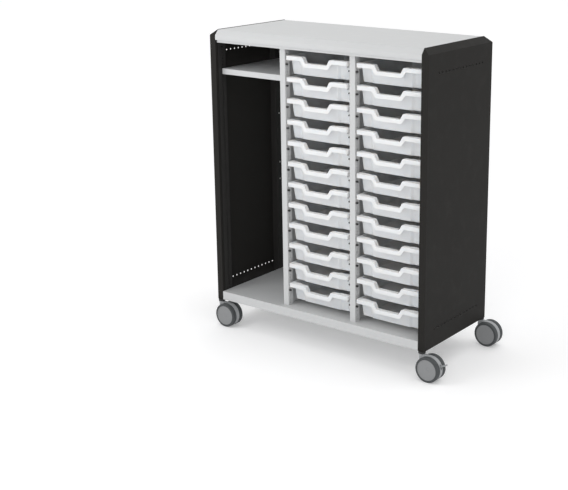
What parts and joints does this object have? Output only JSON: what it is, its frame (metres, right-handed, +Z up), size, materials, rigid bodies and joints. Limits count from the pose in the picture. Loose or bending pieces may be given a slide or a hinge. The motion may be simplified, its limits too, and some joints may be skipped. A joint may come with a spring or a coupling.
{
  "type": "mobile tray storage cabinet",
  "caption": "Steel cabinet on swivel casters with bays of shallow sliding plastic trays and an open bay with an adjustable shelf.",
  "frame": {"origin": "on the floor, under the middle of the cabinet", "axes": "+X along the front to the right as seen from the front, -Y out of the open front, +Z up"},
  "size_m": [1.1945, 0.532, 1.3225],
  "materials": {
    "black_plastic": "moulded",
    "bright_steel": "zinc plated",
    "caster_plastic": "moulded, grey",
    "dark_steel": "powder coat, charcoal",
    "light_steel": "powder coat, light grey",
    "runner_steel": "powder coat, grey",
    "tray_plastic": "moulded, fine texture",
    "wheel_rubber": "moulded tread, grey"
  },
  "bodies": {
    "cabinet": {"adjustable_shelf": "light_steel", "back_panel": "light_steel", "back_panel_screws": "bright_steel", "base_shelf": "light_steel", "caster_sockets": "bright_steel", "caster_stems": "bright_steel", "divider_posts": "light_steel", "divider_webs": "light_steel", "front_top_rail": "light_steel", "left_side_panel": "dark_steel", "rear_top_rail": "light_steel", "right_side_panel": "dark_steel", "runner_clips": "black_plastic", "shelf_clips": "bright_steel", "side_posts": "dark_steel", "tray_runners": "runner_steel", "worktop": "light_steel", "worktop_stiffeners": "light_steel"},
    "tray_middle_01_body": {"tray_middle_01": "tray_plastic"},
    "tray_middle_02_body": {"tray_middle_02": "tray_plastic"},
    "tray_middle_03_body": {"tray_middle_03": "tray_plastic"},
    "tray_middle_04_body": {"tray_middle_04": "tray_plastic"},
    "tray_middle_05_body": {"tray_middle_05": "tray_plastic"},
    "tray_middle_06_body": {"tray_middle_06": "tray_plastic"},
    "tray_middle_07_body": {"tray_middle_07": "tray_plastic"},
    "tray_middle_08_body": {"tray_middle_08": "tray_plastic"},
    "tray_middle_09_body": {"tray_middle_09": "tray_plastic"},
    "tray_middle_10_body": {"tray_middle_10": "tray_plastic"},
    "tray_middle_11_body": {"tray_middle_11": "tray_plastic"},
    "tray_middle_12_body": {"tray_middle_12": "tray_plastic"},
    "tray_right_01_body": {"tray_right_01": "tray_plastic"},
    "tray_right_02_body": {"tray_right_02": "tray_plastic"},
    "tray_right_03_body": {"tray_right_03": "tray_plastic"},
    "tray_right_04_body": {"tray_right_04": "tray_plastic"},
    "tray_right_05_body": {"tray_right_05": "tray_plastic"},
    "tray_right_06_body": {"tray_right_06": "tray_plastic"},
    "tray_right_07_body": {"tray_right_07": "tray_plastic"},
    "tray_right_08_body": {"tray_right_08": "tray_plastic"},
    "tray_right_09_body": {"tray_right_09": "tray_plastic"},
    "tray_right_10_body": {"tray_right_10": "tray_plastic"},
    "tray_right_11_body": {"tray_right_11": "tray_plastic"},
    "tray_right_12_body": {"tray_right_12": "tray_plastic"},
    "front_left_caster": {"front_left_caster_housing": "caster_plastic", "front_left_caster_axle": "bright_steel"},
    "front_left_wheel_front": {"front_left_caster_wheel_front": "wheel_rubber"},
    "front_left_wheel_rear": {"front_left_caster_wheel_rear": "wheel_rubber"},
    "front_right_caster": {"front_right_caster_housing": "caster_plastic", "front_right_caster_axle": "bright_steel"},
    "front_right_wheel_front": {"front_right_caster_wheel_front": "wheel_rubber"},
    "front_right_wheel_rear": {"front_right_caster_wheel_rear": "wheel_rubber"},
    "front_right_brake": {"front_right_brake_lever": "caster_plastic"},
    "rear_left_caster": {"rear_left_caster_housing": "caster_plastic", "rear_left_caster_axle": "bright_steel"},
    "rear_left_wheel_front": {"rear_left_caster_wheel_front": "wheel_rubber"},
    "rear_left_wheel_rear": {"rear_left_caster_wheel_rear": "wheel_rubber"},
    "rear_left_brake": {"rear_left_brake_lever": "caster_plastic"},
    "rear_right_caster": {"rear_right_caster_housing": "caster_plastic", "rear_right_caster_axle": "bright_steel"},
    "rear_right_wheel_front": {"rear_right_caster_wheel_front": "wheel_rubber"},
    "rear_right_wheel_rear": {"rear_right_caster_wheel_rear": "wheel_rubber"}
  },
  "joints": [
    {"name": "tray_middle_01_slide", "type": "slide", "parent": "cabinet", "child": "tray_middle_01_body", "axis": [0, -1, 0], "range_m": [0, 0.3]},
    {"name": "tray_middle_02_slide", "type": "slide", "parent": "cabinet", "child": "tray_middle_02_body", "axis": [0, -1, 0], "range_m": [0, 0.3]},
    {"name": "tray_middle_03_slide", "type": "slide", "parent": "cabinet", "child": "tray_middle_03_body", "axis": [0, -1, 0], "range_m": [0, 0.3]},
    {"name": "tray_middle_04_slide", "type": "slide", "parent": "cabinet", "child": "tray_middle_04_body", "axis": [0, -1, 0], "range_m": [0, 0.3]},
    {"name": "tray_middle_05_slide", "type": "slide", "parent": "cabinet", "child": "tray_middle_05_body", "axis": [0, -1, 0], "range_m": [0, 0.3]},
    {"name": "tray_middle_06_slide", "type": "slide", "parent": "cabinet", "child": "tray_middle_06_body", "axis": [0, -1, 0], "range_m": [0, 0.3]},
    {"name": "tray_middle_07_slide", "type": "slide", "parent": "cabinet", "child": "tray_middle_07_body", "axis": [0, -1, 0], "range_m": [0, 0.3]},
    {"name": "tray_middle_08_slide", "type": "slide", "parent": "cabinet", "child": "tray_middle_08_body", "axis": [0, -1, 0], "range_m": [0, 0.3]},
    {"name": "tray_middle_09_slide", "type": "slide", "parent": "cabinet", "child": "tray_middle_09_body", "axis": [0, -1, 0], "range_m": [0, 0.3]},
    {"name": "tray_middle_10_slide", "type": "slide", "parent": "cabinet", "child": "tray_middle_10_body", "axis": [0, -1, 0], "range_m": [0, 0.3]},
    {"name": "tray_middle_11_slide", "type": "slide", "parent": "cabinet", "child": "tray_middle_11_body", "axis": [0, -1, 0], "range_m": [0, 0.3]},
    {"name": "tray_middle_12_slide", "type": "slide", "parent": "cabinet", "child": "tray_middle_12_body", "axis": [0, -1, 0], "range_m": [0, 0.3]},
    {"name": "tray_right_01_slide", "type": "slide", "parent": "cabinet", "child": "tray_right_01_body", "axis": [0, -1, 0], "range_m": [0, 0.3]},
    {"name": "tray_right_02_slide", "type": "slide", "parent": "cabinet", "child": "tray_right_02_body", "axis": [0, -1, 0], "range_m": [0, 0.3]},
    {"name": "tray_right_03_slide", "type": "slide", "parent": "cabinet", "child": "tray_right_03_body", "axis": [0, -1, 0], "range_m": [0, 0.3]},
    {"name": "tray_right_04_slide", "type": "slide", "parent": "cabinet", "child": "tray_right_04_body", "axis": [0, -1, 0], "range_m": [0, 0.3]},
    {"name": "tray_right_05_slide", "type": "slide", "parent": "cabinet", "child": "tray_right_05_body", "axis": [0, -1, 0], "range_m": [0, 0.3]},
    {"name": "tray_right_06_slide", "type": "slide", "parent": "cabinet", "child": "tray_right_06_body", "axis": [0, -1, 0], "range_m": [0, 0.3]},
    {"name": "tray_right_07_slide", "type": "slide", "parent": "cabinet", "child": "tray_right_07_body", "axis": [0, -1, 0], "range_m": [0, 0.3]},
    {"name": "tray_right_08_slide", "type": "slide", "parent": "cabinet", "child": "tray_right_08_body", "axis": [0, -1, 0], "range_m": [0, 0.3]},
    {"name": "tray_right_09_slide", "type": "slide", "parent": "cabinet", "child": "tray_right_09_body", "axis": [0, -1, 0], "range_m": [0, 0.3]},
    {"name": "tray_right_10_slide", "type": "slide", "parent": "cabinet", "child": "tray_right_10_body", "axis": [0, -1, 0], "range_m": [0, 0.3]},
    {"name": "tray_right_11_slide", "type": "slide", "parent": "cabinet", "child": "tray_right_11_body", "axis": [0, -1, 0], "range_m": [0, 0.3]},
    {"name": "tray_right_12_slide", "type": "slide", "parent": "cabinet", "child": "tray_right_12_body", "axis": [0, -1, 0], "range_m": [0, 0.3]},
    {"name": "front_left_swivel", "type": "hinge", "parent": "cabinet", "child": "front_left_caster", "pos_m": [-0.53125, -0.2345, 0.1077], "axis": [0, 0, 1], "continuous": true},
    {"name": "front_left_wheel_front_spin", "type": "hinge", "parent": "front_left_caster", "child": "front_left_wheel_front", "pos_m": [-0.49025, -0.2345, 0.053], "axis": [0, 1, 0], "continuous": true},
    {"name": "front_left_wheel_rear_spin", "type": "hinge", "parent": "front_left_caster", "child": "front_left_wheel_rear", "pos_m": [-0.49025, -0.2345, 0.053], "axis": [0, 1, 0], "continuous": true},
    {"name": "front_right_swivel", "type": "hinge", "parent": "cabinet", "child": "front_right_caster", "pos_m": [0.53125, -0.2345, 0.1077], "axis": [0, 0, 1], "continuous": true},
    {"name": "front_right_wheel_front_spin", "type": "hinge", "parent": "front_right_caster", "child": "front_right_wheel_front", "pos_m": [0.57225, -0.2345, 0.053], "axis": [0, 1, 0], "continuous": true},
    {"name": "front_right_wheel_rear_spin", "type": "hinge", "parent": "front_right_caster", "child": "front_right_wheel_rear", "pos_m": [0.57225, -0.2345, 0.053], "axis": [0, 1, 0], "continuous": true},
    {"name": "front_right_brake_press", "type": "hinge", "parent": "front_right_caster", "child": "front_right_brake", "pos_m": [0.60825, -0.2345, 0.067], "axis": [0, 1, 0], "range_deg": [0, 18]},
    {"name": "rear_left_swivel", "type": "hinge", "parent": "cabinet", "child": "rear_left_caster", "pos_m": [-0.53125, 0.2345, 0.1077], "axis": [0, 0, 1], "continuous": true},
    {"name": "rear_left_wheel_front_spin", "type": "hinge", "parent": "rear_left_caster", "child": "rear_left_wheel_front", "pos_m": [-0.49025, 0.2345, 0.053], "axis": [0, 1, 0], "continuous": true},
    {"name": "rear_left_wheel_rear_spin", "type": "hinge", "parent": "rear_left_caster", "child": "rear_left_wheel_rear", "pos_m": [-0.49025, 0.2345, 0.053], "axis": [0, 1, 0], "continuous": true},
    {"name": "rear_left_brake_press", "type": "hinge", "parent": "rear_left_caster", "child": "rear_left_brake", "pos_m": [-0.45425, 0.2345, 0.067], "axis": [0, 1, 0], "range_deg": [0, 18]},
    {"name": "rear_right_swivel", "type": "hinge", "parent": "cabinet", "child": "rear_right_caster", "pos_m": [0.53125, 0.2345, 0.1077], "axis": [0, 0, 1], "continuous": true},
    {"name": "rear_right_wheel_front_spin", "type": "hinge", "parent": "rear_right_caster", "child": "rear_right_wheel_front", "pos_m": [0.57225, 0.2345, 0.053], "axis": [0, 1, 0], "continuous": true},
    {"name": "rear_right_wheel_rear_spin", "type": "hinge", "parent": "rear_right_caster", "child": "rear_right_wheel_rear", "pos_m": [0.57225, 0.2345, 0.053], "axis": [0, 1, 0], "continuous": true}
  ]
}
